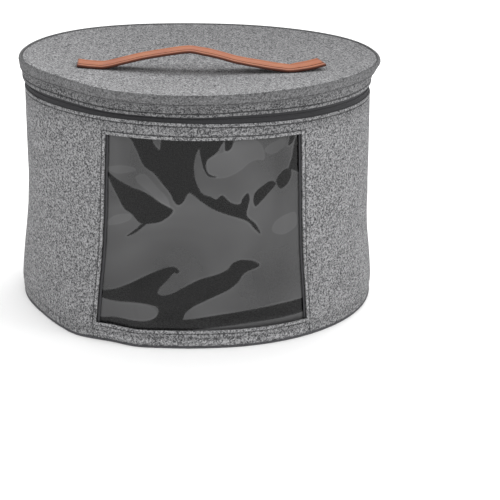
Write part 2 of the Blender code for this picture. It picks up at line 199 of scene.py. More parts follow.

# Outlines of the film's folds, as points across the window from -1 to 1 and up it from 0 to 1:
# patches painted dark as painted shade, gaps in them, and facets painted lighter as painted highlight
PAINTED_SHADE_PATCHES = (
    ((-0.78, 1.04), (0.15, 1.04), (0.15, 0.96), (0.11, 0.93), (0.03, 0.90), (0.01, 0.86),
     (0.04, 0.825), (0.12, 0.808), (0.04, 0.812), (-0.01, 0.85), (-0.04, 0.905), (-0.06, 0.955),
     (-0.10, 0.905), (-0.11, 0.84), (-0.08, 0.77), (-0.02, 0.72), (0.06, 0.705), (0.12, 0.69),
     (0.18, 0.71), (0.265, 0.67), (0.36, 0.66), (0.39, 0.69), (0.44, 0.715), (0.46, 0.68),
     (0.43, 0.60), (0.52, 0.55), (0.57, 0.495), (0.50, 0.53), (0.455, 0.56), (0.36, 0.585),
     (0.12, 0.63), (-0.02, 0.675), (-0.13, 0.72), (-0.17, 0.72), (-0.22, 0.675), (-0.27, 0.66),
     (-0.305, 0.675), (-0.355, 0.725), (-0.43, 0.77), (-0.51, 0.817), (-0.615, 0.855),
     (-0.68, 0.92), (-0.735, 0.975)),
    ((0.21, 1.04), (0.305, 1.04), (0.275, 0.96), (0.215, 0.942), (0.205, 0.97)),
    ((-0.99, 0.80), (-0.885, 0.767), (-0.75, 0.737), (-0.64, 0.722), (-0.545, 0.70),
     (-0.465, 0.672), (-0.34, 0.64), (-0.32, 0.627), (-0.355, 0.60), (-0.42, 0.575),
     (-0.48, 0.56), (-0.64, 0.55), (-0.735, 0.595), (-0.815, 0.62), (-0.885, 0.685),
     (-0.95, 0.745)),
    ((-0.575, 0.555), (-0.64, 0.545), (-0.68, 0.52), (-0.775, 0.475), (-0.70, 0.495),
     (-0.625, 0.53)),
    ((0.50, 0.67), (0.505, 0.70), (0.535, 0.725), (0.645, 0.763), (0.70, 0.767), (0.735, 0.75),
     (0.695, 0.725), (0.645, 0.70), (0.58, 0.667), (0.525, 0.643)),
    ((0.745, 0.75), (0.745, 0.775), (0.78, 0.80), (0.835, 0.82), (0.89, 0.82), (0.90, 0.79),
     (0.87, 0.75), (0.82, 0.728), (0.78, 0.724)),
    ((0.875, 0.825), (0.91, 0.875), (0.93, 0.93), (0.97, 0.99), (1.05, 1.00), (1.05, 0.80),
     (0.91, 0.815)),
    ((0.87, 0.95), (0.885, 0.975), (0.905, 1.04), (0.97, 1.04), (0.93, 0.968), (0.89, 0.945)),
    ((-1.05, 0.16), (-0.97, 0.17), (-0.88, 0.183), (-0.74, 0.223), (-0.58, 0.275),
     (-0.455, 0.31), (-0.345, 0.33), (-0.285, 0.328), (-0.25, 0.31), (-0.27, 0.297),
     (-0.30, 0.302), (-0.33, 0.285), (-0.365, 0.26), (-0.425, 0.225), (-0.455, 0.195),
     (-0.425, 0.18), (-0.33, 0.187), (-0.205, 0.223), (-0.05, 0.265), (0.135, 0.293),
     (0.23, 0.316), (0.29, 0.35), (0.37, 0.363), (0.48, 0.354), (0.55, 0.333), (0.535, 0.317),
     (0.445, 0.303), (0.385, 0.283), (0.33, 0.244), (0.23, 0.206), (0.09, 0.172),
     (-0.08, 0.131), (-0.175, 0.095), (-0.20, 0.065), (-0.17, 0.053), (0.20, 0.078),
     (0.48, 0.093), (0.82, 0.105), (1.05, 0.105), (1.05, 0.04), (0.35, 0.02), (-0.27, -0.01),
     (-0.60, -0.02), (-1.05, -0.02), (-1.05, 0.02), (-0.955, 0.025), (-0.845, 0.035),
     (-0.69, 0.036), (-0.55, 0.04), (-0.465, 0.06), (-0.44, 0.095), (-0.455, 0.117),
     (-0.535, 0.131), (-0.66, 0.135), (-0.845, 0.125), (-0.97, 0.13)),
)
PAINTED_SHADE_GAPS = (
    ((-0.53, 1.06), (-0.45, 1.06), (-0.45, 0.957), (-0.47, 0.944), (-0.505, 0.962),
     (-0.53, 0.985)),
)
PAINTED_HIGHLIGHT_PATCHES = (
    ((-1.05, 0.118), (-0.85, 0.117), (-0.66, 0.127), (-0.54, 0.122), (-0.47, 0.10),
     (-0.455, 0.08), (-0.48, 0.062), (-0.55, 0.048), (-0.69, 0.043), (-0.85, 0.042),
     (-1.05, 0.03)),
    ((-0.99, 0.823), (-0.86, 0.842), (-0.735, 0.841), (-0.70, 0.825), (-0.75, 0.817),
     (-0.88, 0.80), (-0.97, 0.81)),
    ((-0.695, 0.795), (-0.615, 0.81), (-0.545, 0.783), (-0.48, 0.744), (-0.40, 0.707),
     (-0.36, 0.668), (-0.357, 0.643), (-0.43, 0.664), (-0.51, 0.702), (-0.61, 0.739),
     (-0.68, 0.767)),
    ((-0.97, 0.52), (-0.965, 0.545), (-0.895, 0.575), (-0.80, 0.59), (-0.74, 0.585),
     (-0.755, 0.562), (-0.83, 0.54), (-0.91, 0.525)),
    ((0.02, 0.887), (0.12, 0.923), (0.20, 0.937), (0.28, 0.973), (0.36, 0.988), (0.52, 0.989),
     (0.60, 0.944), (0.615, 0.887), (0.535, 0.888), (0.455, 0.874), (0.36, 0.837),
     (0.235, 0.807), (0.12, 0.803), (0.045, 0.827)),
    ((0.62, 0.935), (0.69, 0.965), (0.82, 0.985), (0.84, 0.95), (0.76, 0.92), (0.68, 0.91)),
    ((0.70, 0.50), (0.715, 0.538), (0.79, 0.567), (0.90, 0.583), (0.95, 0.573), (0.955, 0.517),
     (0.885, 0.487), (0.79, 0.476)),
)
# Stretches of the film in painted half shade, or painted lighter where the depth is below zero
Shade = namedtuple("Shade", "across up spread depth")
SHADES = (
    Shade(0.62, 0.24, 0.30, 0.22),
    Shade(-0.90, 0.42, 0.12, 0.06),
    Shade(-0.35, 0.36, 0.25, 0.10),
    Shade(0.70, 0.88, 0.22, 0.16),
    Shade(0.25, 0.76, 0.20, 0.12),
    Shade(-0.95, 0.68, 0.12, 0.10),
    Shade(-0.70, 0.46, 0.38, -0.16),
)


class HatBoxSizes(bpy.types.PropertyGroup):
    """Sizes of the box, in metres, as the frame has them."""

    felt: FloatProperty(
        name="Felt", description="Thickness of the felt", default=0.003, unit="LENGTH")
    wall_radius: FloatProperty(
        name="Wall radius", description="Outer radius of the wall at its top",
        default=0.2057, unit="LENGTH")
    wall_height: FloatProperty(
        name="Wall height", description="Height of the wall's top edge",
        default=0.2573, unit="LENGTH")
    foot_flare: FloatProperty(
        name="Foot flare", description="How far the foot stands out", default=0.0115,
        unit="LENGTH")
    side_belly: FloatProperty(
        name="Side belly", description="Fullness of the right side", default=0.0026,
        unit="LENGTH")
    window_width: FloatProperty(
        name="Window width", description="Width of the window at its top, along the wall",
        default=0.2255, unit="LENGTH")
    window_top: FloatProperty(
        name="Window top", description="Height of the window's top edge", default=0.238,
        unit="LENGTH")
    strip_top: FloatProperty(
        name="Foot strip top", description="Height of the strip across the window's foot",
        default=0.0218, unit="LENGTH")
    welt: FloatProperty(
        name="Welt", description="Width of the edge outside a row of stitches",
        default=0.0040, unit="LENGTH")
    stitch: FloatProperty(
        name="Stitch", description="Pitch of the stitches", default=0.0038, unit="LENGTH")
    zip_width: FloatProperty(
        name="Zip width", description="Height of the zip between its felt edges",
        default=0.0059, unit="LENGTH")
    lid_radius: FloatProperty(
        name="Lid radius", description="Mean radius of the lid", default=0.215,
        unit="LENGTH")
    lid_depth: FloatProperty(
        name="Lid depth", description="Height of the lid's side", default=0.0268,
        unit="LENGTH")
    lid_sag: FloatProperty(
        name="Lid sag", description="How far the lid's middle sags", default=0.010,
        unit="LENGTH")
    rim_width: FloatProperty(
        name="Rim width", description="Width of the lid's flat rim", default=0.010,
        unit="LENGTH")
    skirt_ease: FloatProperty(
        name="Skirt ease", description="How far the skirt's foot clears the wall",
        default=0.0016, unit="LENGTH")
    band_height: FloatProperty(
        name="Band height", description="Height of the band round the lid's edge",
        default=0.0117, unit="LENGTH")
    band_thickness: FloatProperty(
        name="Band thickness", description="Thickness of the band round the lid's edge",
        default=0.0014, unit="LENGTH")
    handle_span: FloatProperty(
        name="Strap span", description="Length from tip to tip", default=0.283,
        unit="LENGTH")
    handle_width: FloatProperty(
        name="Strap width", description="Width of the carrying strap", default=0.035,
        unit="LENGTH")
    handle_thickness: FloatProperty(
        name="Strap thickness", description="Thickness of the carrying strap",
        default=0.003, unit="LENGTH")
    handle_rise: FloatProperty(
        name="Strap rise", description="Height of the strap's arch over the lid",
        default=0.0228, unit="LENGTH")
    handle_forward: FloatProperty(
        name="Strap forward", description="Distance from the lid's middle to the strap",
        default=0.050, unit="LENGTH")


class HatBoxColours(bpy.types.PropertyGroup):
    """Colours of the finishes, as linear values."""

    felt_light: FloatVectorProperty(
        name="Felt, light fibres", description="Colour of the light fibres",
        default=(0.400, 0.400, 0.406), subtype="COLOR", min=0.0, max=1.0)
    felt_dark: FloatVectorProperty(
        name="Felt, dark fibres", description="Colour of the dark fibres",
        default=(0.052, 0.052, 0.055), subtype="COLOR", min=0.0, max=1.0)
    thread: FloatVectorProperty(
        name="Thread", description="Colour of the stitches",
        default=(0.030, 0.030, 0.032), subtype="COLOR", min=0.0, max=1.0)
    zip_cloth: FloatVectorProperty(
        name="Zip tape", description="Colour of the zip's tape",
        default=(0.022, 0.022, 0.0235), subtype="COLOR", min=0.0, max=1.0)
    leather: FloatVectorProperty(
        name="Leather", description="Colour of the carrying strap",
        default=(0.275, 0.067, 0.015), subtype="COLOR", min=0.0, max=1.0)
    leather_edge: FloatVectorProperty(
        name="Leather edge", description="Colour of the strap's dyed edges",
        default=(0.075, 0.021, 0.011), subtype="COLOR", min=0.0, max=1.0)
    # The film's two colours are painted shade and a painted reflection, mixed by its sheen attribute
    film_painted_shade: FloatVectorProperty(
        name="Film, hollow", description="Colour of the film where it catches no light",
        default=(0.0022, 0.0022, 0.0023), subtype="COLOR", min=0.0, max=1.0)
    film_sheen: FloatVectorProperty(
        name="Film, sheen", description="Colour of the film where it catches the light",
        default=(0.126, 0.126, 0.128), subtype="COLOR", min=0.0, max=1.0)


def smooth(rows, key, column, x):
    """A smooth curve through a table's column, level beyond its ends."""
    keys = np.array([getattr(row, key) for row in rows])
    values = np.array([getattr(row, column) for row in rows])
    if key == "azimuth":
        keys = np.concatenate([keys - 360.0, keys, keys + 360.0])
        values = np.tile(values, 3)
        x = (np.asarray(x) + 180.0) % 360.0 - 180.0
    slopes = np.gradient(values, keys)
    slopes[1:-1] = (values[2:] - values[:-2]) / (keys[2:] - keys[:-2])
    i = np.clip(np.searchsorted(keys, x, side="right") - 1, 0, len(keys) - 2)
    step = keys[i + 1] - keys[i]
    t = np.clip((x - keys[i]) / step, 0.0, 1.0)
    rise = (values[i + 1] - values[i]) * t * t * (3.0 - 2.0 * t)
    leave = slopes[i] * step * t * (1.0 - t) ** 2
    arrive = slopes[i + 1] * step * t * t * (t - 1.0)
    return values[i] + rise + leave + arrive


def bump_at(distance, place, width):
    return np.exp(-((distance - place) / width) ** 2)


def ease(low, high, x):
    t = np.clip((x - low) / (high - low), 0.0, 1.0)
    return t * t * (3.0 - 2.0 * t)


def turned(azimuth, radius, height):
    """Points at azimuths, radii and heights, as an array of x, y, z."""
    azimuth, radius, height = np.broadcast_arrays(azimuth, radius, height)
    angle = np.radians(azimuth)
    return np.stack([radius * np.sin(angle), -radius * np.cos(angle), height], axis=-1)


def ring(count):
    """Azimuths all round, without the one that would repeat the first."""
    return np.linspace(-180.0, 180.0, count + 1)[:-1]


def refined(start, end, step, places=(), offsets=()):
    """Even stations from start to end, with extra ones at offsets from given places."""
    count = max(2, int(round((end - start) / step)))
    even = [start + (end - start) * i / count for i in range(count + 1)]
    extra = [place + offset for place in places for offset in offsets]
    extra = [value for value in extra if start + 1e-5 < value < end - 1e-5]
    near = 0.35 * min([step] + [abs(b - a) for a, b in zip(offsets, offsets[1:])])
    kept = [v for v in even if all(abs(v - e) > near for e in extra) or v in (start, end)]
    return np.array(sorted(set(kept + extra)))


class Shape:
    """The felt's surfaces, worked out from the sizes and the tables above."""

    def __init__(self, sizes):
        for name in sizes.bl_rna.properties.keys():
            if name not in ("rna_type", "name"):
                setattr(self, name, getattr(sizes, name))
        self.gap = FIT_GAP
        self.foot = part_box("side_wall")[0][2]
        self.skirt_foot = self.wall_height + self.zip_width
        self.lid_top = self.skirt_foot + self.lid_depth

    def wall(self, azimuth, height):
        """Outer radius of the felt wall."""
        share = np.asarray(height) / self.wall_height
        flare = smooth(PROFILE, "height", "flare", share) * smooth(FOOT, "azimuth", "flare", azimuth)
        right = np.maximum(0.0, np.sin(np.radians(azimuth))) ** 2
        belly = smooth(PROFILE, "height", "belly", share) * right
        return self.wall_radius + self.foot_flare * flare + self.side_belly * belly

    def ripple(self, azimuth, height):
        """The felt's shallow dents."""
        angle = np.radians(azimuth)
        tall = height / self.wall_height
        wave = np.sin(3 * angle + 5.1 * tall) + np.sin(7 * angle - 3.3 * tall + 1.2)
        return 0.00022 * wave + 0.00012 * np.sin(17 * angle + 9.0 * tall + 0.4)

    def window_edge(self, height):
        half = math.degrees(0.5 * self.window_width / self.wall_radius)
        share = np.clip(np.asarray(height) / self.window_top, 0.0, 1.0)
        return half * smooth(WINDOW_SIDES, "height", "spread", share)

    def degrees(self, length):
        return math.degrees(length / self.wall_radius)

    def rise(self, column, azimuth):
        return self.lid_depth * smooth(EDGES, "azimuth", column, azimuth)

    def wall_edge(self, azimuth):
        return self.wall_height + self.rise("wall_rise", azimuth)

    def skirt_edge(self, azimuth):
        return self.skirt_foot + self.rise("skirt_rise", azimuth)

    def rim_height(self, azimuth):
        return self.lid_top + self.rise("rim_rise", azimuth)

    def rim_radius(self, azimuth):
        return self.lid_radius * smooth(EDGES, "azimuth", "rim_radius", azimuth)

    def lid(self, azimuth, radius):
        """Top of the lid: flat along the rim, sagging inside it."""
        inner = self.rim_radius(azimuth) - self.rim_width
        share = np.minimum(radius / inner, 1.0)
        rise = self.rise("rim_rise", azimuth) * share ** 2
        return self.lid_top - self.lid_sag * (1.0 - share ** 2) + rise

    def skirt(self, azimuth, height):
        """Outer radius of the lid's skirt, which widens upwards to the rim."""
        loose = self.skirt_ease * smooth(EDGES, "azimuth", "skirt_ease", azimuth)
        rim = self.rim_radius(azimuth)
        foot = self.wall_radius + loose + RIM_SHARE * (rim - self.lid_radius)
        top = rim - RIM_SET_BACK
        low = self.skirt_edge(azimuth)
        high = self.rim_height(azimuth) - self.felt
        share = (height - low) / (high - low)
        belly = 4.0 * share * (1.0 - share) * smooth(EDGES, "azimuth", "skirt_belly", azimuth)
        return foot + (top - foot) * (share + belly)


def shape():
    return Shape(bpy.context.scene.hat_box_sizes)


class Signal:
    """A socket of a shader tree that can be used in sums and products."""

    def __init__(self, finish, socket):
        self.finish = finish
        self.socket = socket

    def math(self, operation, first, second):
        values = {0: first, 1: second}
        return self.finish.node("ShaderNodeMath", {"operation": operation}, values)

    def __add__(self, other):
        return self.math("ADD", self, other)

    __radd__ = __add__

    def __sub__(self, other):
        return self.math("SUBTRACT", self, other)

    def __rsub__(self, other):
        return self.math("SUBTRACT", other, self)

    def __mul__(self, other):
        return self.math("MULTIPLY", self, other)

    __rmul__ = __mul__

    def __pow__(self, other):
        return self.math("POWER", self, other)

    def clamp(self):
        settings = {"operation": "ADD", "use_clamp": True}
        return self.finish.node("ShaderNodeMath", settings, {0: self, 1: 0.0})

    def step(self, low, high):
        """0 below low, 1 above high and smooth between them."""
        settings = {"interpolation_type": "SMOOTHSTEP"}
        values = {"Value": self, "From Min": low, "From Max": high}
        return self.finish.node("ShaderNodeMapRange", settings, values)


class Finish:
    """A material and the nodes behind its Principled shader."""

    def __init__(self, name, **constants):
        self.material = bpy.data.materials.new(name)
        self.material.use_nodes = True
        self.tree = self.material.node_tree
        self.shader = self.tree.nodes["Principled BSDF"]
        for socket, value in constants.items():
            self.shader.inputs[socket.replace("_", " ")].default_value = value

    def node(self, kind, settings=None, values=None, output=0):
        node = self.tree.nodes.new(kind)
        for key, value in (settings or {}).items():
            setattr(node, key, value)
        for key, value in (values or {}).items():
            self.plug(node.inputs[key], value)
        return Signal(self, node.outputs[output])

    def plug(self, socket, value):
        if isinstance(value, Signal):
            self.tree.links.new(value.socket, socket)
        else:
            socket.default_value = value

    def place(self):
        return self.node("ShaderNodeTexCoord", output="Object")

    def attribute(self, name):
        return self.node("ShaderNodeAttribute", {"attribute_name": name}, output="Fac")

    def stretched(self, scale):
        settings = {"operation": "MULTIPLY"}
        return self.node("ShaderNodeVectorMath", settings, {0: self.place(), 1: scale})

    def noise(self, scale, detail=2.0, roughness=0.5, distortion=0.0, place=None):
        values = {
            "Vector": place or self.place(), "Scale": scale, "Detail": detail,
            "Roughness": roughness, "Distortion": distortion,
        }
        return self.node("ShaderNodeTexNoise", values=values, output="Fac")

    def mix(self, first, second, factor):
        node = self.tree.nodes.new("ShaderNodeMix")
        node.data_type = "RGBA"
        self.plug(node.inputs["Factor"], factor)
        for key, value in (("A", first), ("B", second)):
            socket = [s for s in node.inputs if s.name == key and s.type == "RGBA"][0]
            self.plug(socket, value if isinstance(value, Signal) else (*value, 1.0))
        return Signal(self, [s for s in node.outputs if s.type == "RGBA"][0])

    def bump(self, height, strength, distance):
        values = {"Height": height, "Strength": strength, "Distance": distance}
        self.set("Normal", self.node("ShaderNodeBump", values=values))

    def set(self, socket, value):
        self.plug(self.shader.inputs[socket], value)


def colours():
    return bpy.context.scene.hat_box_colours


def felt_finish(name, tone=1.0, contrast=1.0):
    """Mottled grey felt; tone lightens or darkens the whole, the tone attribute parts of it with
    painted shade and painted highlights.
    """
    finish = Finish(name, Roughness=0.96, Specular_IOR_Level=0.15)
    grain = finish.noise(430.0, 2.0, 0.65)
    flecks = finish.noise(900.0, 1.0, 0.5)
    fibres = finish.noise(240.0, 3.0, 0.6, 1.6, finish.stretched((1.0, 0.35, 2.0)))
    cloud = finish.noise(38.0, 2.0, 0.5)
    mottle = (grain - 0.5) * 3.0 + (flecks - 0.5) * 2.2 + (fibres - 0.5) * 1.1
    level = (mottle * contrast + (cloud - 0.5) * 0.25 + 0.5).clamp()
    light = tuple(tone * c for c in colours().felt_light)
    dark = tuple(tone * c for c in colours().felt_dark)
    felt = finish.mix(dark, light, level)
    # The tone attribute darkens the felt towards near black where shade is painted, and leaves it
    # lighter where a highlight is painted
    shade = finish.attribute("tone")
    finish.set("Base Color", finish.mix((0.012, 0.012, 0.013), felt, shade))
    finish.bump(level + (cloud - 0.5) * 0.5, 0.55, 0.0007)
    return finish.material


def thread_finish():
    finish = Finish("sewing_thread", Roughness=0.75, Specular_IOR_Level=0.3)
    twist = finish.noise(2600.0, 1.0)
    dark = tuple(0.6 * c for c in colours().thread)
    finish.set("Base Color", finish.mix(dark, tuple(colours().thread), twist))
    finish.bump(twist, 0.4, 0.0003)
    return finish.material


def weave_finish(name, tone):
    """Dark woven tape with fine ribs."""
    finish = Finish(name, Roughness=0.82, Specular_IOR_Level=0.25)
    values = {"Vector": finish.place(), "Scale": 520.0, "Distortion": 0.6}
    settings = {"wave_type": "BANDS", "bands_direction": "Z"}
    ribs = finish.node("ShaderNodeTexWave", settings, values, output="Fac")
    fuzz = finish.noise(900.0, 2.0)
    base = tuple(tone * c for c in colours().zip_cloth)
    light = tuple(min(1.0, 2.1 * c) for c in base)
    finish.set("Base Color", finish.mix(base, light, ribs * 0.4 + fuzz * 0.45))
    finish.bump(ribs + fuzz * 0.5, 0.5, 0.0003)
    return finish.material


def leather_finish():
    finish = Finish("strap_leather", Specular_IOR_Level=0.25)
    values = {"Vector": finish.place(), "Scale": 900.0}
    cells = finish.node("ShaderNodeTexVoronoi", {}, values, output="Distance")
    grain = finish.noise(700.0, 3.0, 0.6)
    cloud = finish.noise(45.0, 3.0, 0.55)
    base = tuple(colours().leather)
    pale = (1.14 * base[0], 1.40 * base[1], 1.25 * base[2])
    deep = (0.82 * base[0], 0.66 * base[1], 0.55 * base[2])
    top = finish.mix(deep, pale, (0.5 + (cloud - 0.5) * 1.5 + (grain - 0.5) * 0.8).clamp())
    edge = finish.attribute("edge")
    finish.set("Base Color", finish.mix(top, tuple(colours().leather_edge), edge))
    finish.set("Roughness", 0.42 + grain * 0.2)
    finish.bump(cells * 0.6 + grain, 0.35, 0.00025)
    return finish.material


def metal_finish():
    finish = Finish("dull_metal", Metallic=1.0)
    scratch = finish.noise(500.0, 3.0, 0.6, place=finish.stretched((1.0, 1.0, 0.1)))
    finish.set("Base Color", finish.mix((0.16, 0.16, 0.165), (0.34, 0.34, 0.35), scratch))
    finish.set("Roughness", 0.30 + scratch * 0.25)
    return finish.material


def film_finish():
    """Clear soft film: painted shade and painted reflections mixed by its sheen attribute, and gloss
    from its skin.
    """
    finish = Finish("soft_film", Specular_IOR_Level=0.36, IOR=1.45)
    sheen = finish.attribute("sheen")
    cloud = finish.noise(9.0, 2.0, 0.5, 0.8)
    lit = (sheen * (0.80 + (cloud - 0.5) * 0.9)).clamp()
    finish.set("Base Color", finish.mix(tuple(colours().film_painted_shade), tuple(colours().film_sheen), lit))
    finish.set("Alpha", 0.80 + sheen * 0.12)
    finish.set("Roughness", 0.10 + sheen * 0.10)
    return finish.material


def elastic_finish():
    finish = Finish("ribbed_elastic", Roughness=0.85, Specular_IOR_Level=0.2)
    settings = {"wave_type": "BANDS", "bands_direction": "X"}
    values = {"Vector": finish.place(), "Scale": 210.0}
    ribs = finish.node("ShaderNodeTexWave", settings, values, output="Fac")
    fuzz = finish.noise(1200.0, 1.0)
    level = ribs * 0.6 + fuzz * 0.4
    finish.set("Base Color", finish.mix((0.008, 0.008, 0.009), (0.035, 0.035, 0.038), level))
    finish.bump(ribs, 0.6, 0.0004)
    return finish.material


def material(name, maker, *arguments):
    """The material of that name, made once."""
    return bpy.data.materials.get(name) or maker(*arguments)


def felt(kind="wall_felt", tone=1.0, contrast=1.0):
    return material(kind, felt_finish, kind, tone, contrast)


def weave(kind, tone):
    return material(kind, weave_finish, kind, tone)


def add_piece(name, points, faces, finish, slot, nodes=(), **attributes):
    """A mesh piece that rides on the box, with point attributes for its material."""
    mesh = bpy.data.meshes.new(name)
    mesh.from_pydata(points.tolist(), [], faces)
    mesh.validate()
    mesh.materials.append(finish)
    for key, values in attributes.items():
        layer = mesh.attributes.new(key, "FLOAT", "POINT")
        layer.data.foreach_set("value", np.asarray(values, dtype=np.float32).ravel())
    mesh.shade_smooth()
    piece = bpy.data.objects.new(name, mesh)
    bpy.context.scene.collection.objects.link(piece)
    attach(piece, "root")
    if nodes:
        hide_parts(*nodes)
    return piece


def grid_faces(rows, columns, closed=False, keep=None):
    across = columns if closed else columns - 1
    r, c = np.meshgrid(np.arange(rows - 1), np.arange(across), indexing="ij")
    if keep is not None:
        r, c = r[keep], c[keep]
    n = (c + 1) % columns
    quads = np.stack([r * columns + c, r * columns + n, (r + 1) * columns + n,
                      (r + 1) * columns + c], axis=-1)
    return quads.reshape(-1, 4).tolist()


def tube_faces(rows, columns):
    """Faces along a tube, and one that closes each of its ends."""
    first = list(range(columns))
    last = list(range((rows - 1) * columns, rows * columns))
    return grid_faces(rows, columns, closed=True) + [first[::-1], last]


def sheet(name, rows, finish, slot, node, closed=False, **attributes):
    """A piece made of rows of points."""
    points = np.array(rows)
    faces = grid_faces(*points.shape[:2], closed=closed)
    return add_piece(name, points.reshape(-1, 3), faces, finish, slot, (node,), **attributes)


def disc(name, rows, middle, finish, slot, node, tones):
    """A piece made of rings of points round a middle one."""
    points = np.array(rows)
    count, columns = points.shape[:2]
    last, centre = (count - 1) * columns, count * columns
    faces = grid_faces(count, columns, closed=True)
    faces += [[last + c, last + (c + 1) % columns, centre] for c in range(columns)]
    points = np.concatenate([points.reshape(-1, 3), [(0.0, 0.0, middle)]])
    return add_piece(name, points, faces, finish, slot, (node,), tone=tones)


def soften(piece, width, angle=50.0, segments=2):
    """Rounds the edges that turn by more than the angle."""
    edges = piece.modifiers.new("edges", "BEVEL")
    edges.width = width
    edges.segments = segments
    edges.limit_method = "ANGLE"
    edges.angle_limit = math.radians(angle)


def shell(piece, thickness, bevel=0.0):
    """Gives an open sheet its thickness inwards and rounds its cut edges."""
    piece.modifiers.new("thickness", "SOLIDIFY").thickness = thickness
    if bevel:
        soften(piece, bevel)


def stitch_row(name, path, normals, pitch, finish, slot="felt", width=0.00085, gap=0.0011):
    """Raised stitches along a path, each a small spindle of thread."""
    steps = np.linalg.norm(np.diff(path, axis=0), axis=1)
    length = np.concatenate([[0.0], np.cumsum(steps)])
    count = max(1, int(length[-1] / pitch))
    starts = (np.arange(count) + 0.5) * length[-1] / count
    half = 0.5 * (length[-1] / count - gap)

    def along(values, places):
        return np.stack([np.interp(places, length, values[:, k]) for k in range(3)], axis=1)

    centre = along(path, starts)
    run = along(path, starts + 0.4 * half) - along(path, starts - 0.4 * half)
    run /= np.linalg.norm(run, axis=1, keepdims=True)
    up = along(normals, starts)
    up /= np.linalg.norm(up, axis=1, keepdims=True)
    side = np.cross(up, run)
    fat = np.array([0.25, 0.85, 1.0, 0.85, 0.25])
    rings, sides = len(fat), 6
    turn = np.linspace(0.0, 2.0 * math.pi, sides, endpoint=False)
    local = np.array([(half * t, 0.5 * width * f * math.cos(angle), 0.42 * width * f * math.sin(angle))
                      for t, f in zip(np.linspace(-1.0, 1.0, rings), fat) for angle in turn])
    points = (centre[:, None] + local[None, :, 0:1] * run[:, None]
              + local[None, :, 1:2] * side[:, None] + local[None, :, 2:3] * up[:, None])
    size = rings * sides
    faces = [[size * i + v for v in face] for i in range(count) for face in tube_faces(rings, sides)]
    return add_piece(name, points.reshape(-1, 3), faces, finish, slot)


def outward(azimuth):
    azimuth = np.asarray(azimuth, dtype=float)
    return turned(azimuth, np.ones_like(azimuth), np.zeros_like(azimuth))


def thread():
    return material("sewing_thread", thread_finish)


EDGE_OFFSETS = (0.0, 0.0006, 0.0014, 0.0024, 0.0032, 0.0037, 0.0041, 0.0045, 0.0052, 0.0066)


def welt_height(s, distance):
    """Rounded edge outside a row of stitches, and the groove the stitches lie in."""
    ridge = 0.00045 * (1.0 - np.clip((distance - 0.45 * s.welt) / (0.62 * s.welt), -1, 1) ** 2)
    return np.where(distance >= 0.0, ridge, 0.0) - 0.00055 * bump_at(distance, s.welt, 0.00055)


# Painted highlight along the raised welt and painted shade in the stitch groove beside it
def welt_highlight_and_shade(s, distance):
    inside = ease(-0.0004, 0.0004, distance) * (1.0 - ease(0.8 * s.welt, s.welt, distance))
    return 0.10 * inside - 0.50 * bump_at(distance, s.welt, 0.00075)


